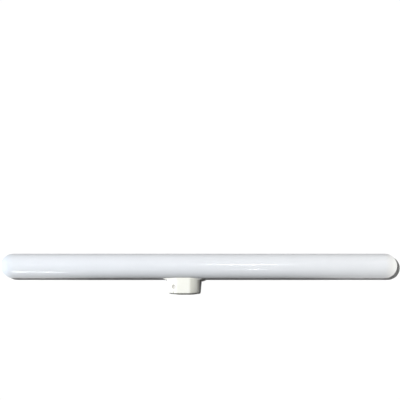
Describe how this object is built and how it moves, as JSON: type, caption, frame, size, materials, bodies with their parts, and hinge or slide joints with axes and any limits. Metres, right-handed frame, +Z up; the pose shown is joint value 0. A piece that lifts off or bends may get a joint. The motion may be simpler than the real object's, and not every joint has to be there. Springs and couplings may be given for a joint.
{
  "type": "tubular light bulb",
  "caption": "Straight opal glass lamp with domed ends and an oblong white push-in cap on its side, with a dished contact in each side; lies on its tube and the cap's edge.",
  "frame": {"origin": "bottom centre of the lamp's box as it lies at rest, under the middle of the tube's length", "axes": "+X along the tube, towards the end farther from the cap; +Y from the cap's end face towards the tube; +Z up"},
  "size_m": [0.5, 0.05, 0.031],
  "materials": {
    "opal_glass": "white opal, glossy",
    "cap_plastic": "moulded, satin gloss",
    "cement": "matt, fine grain",
    "contact_metal": "nickel plated, bright",
    "lead_metal": "drawn wire",
    "solder": "dull, frozen drop"
  },
  "bodies": {
    "root": {"glass_bulb": "opal_glass", "cap_body": "cap_plastic", "cap_cement": "cement", "contact_front": "contact_metal", "contact_rear": "contact_metal", "lead_wire_front": "lead_metal", "lead_wire_rear": "lead_metal", "solder_front": "solder", "solder_rear": "solder"}
  },
  "joints": []
}
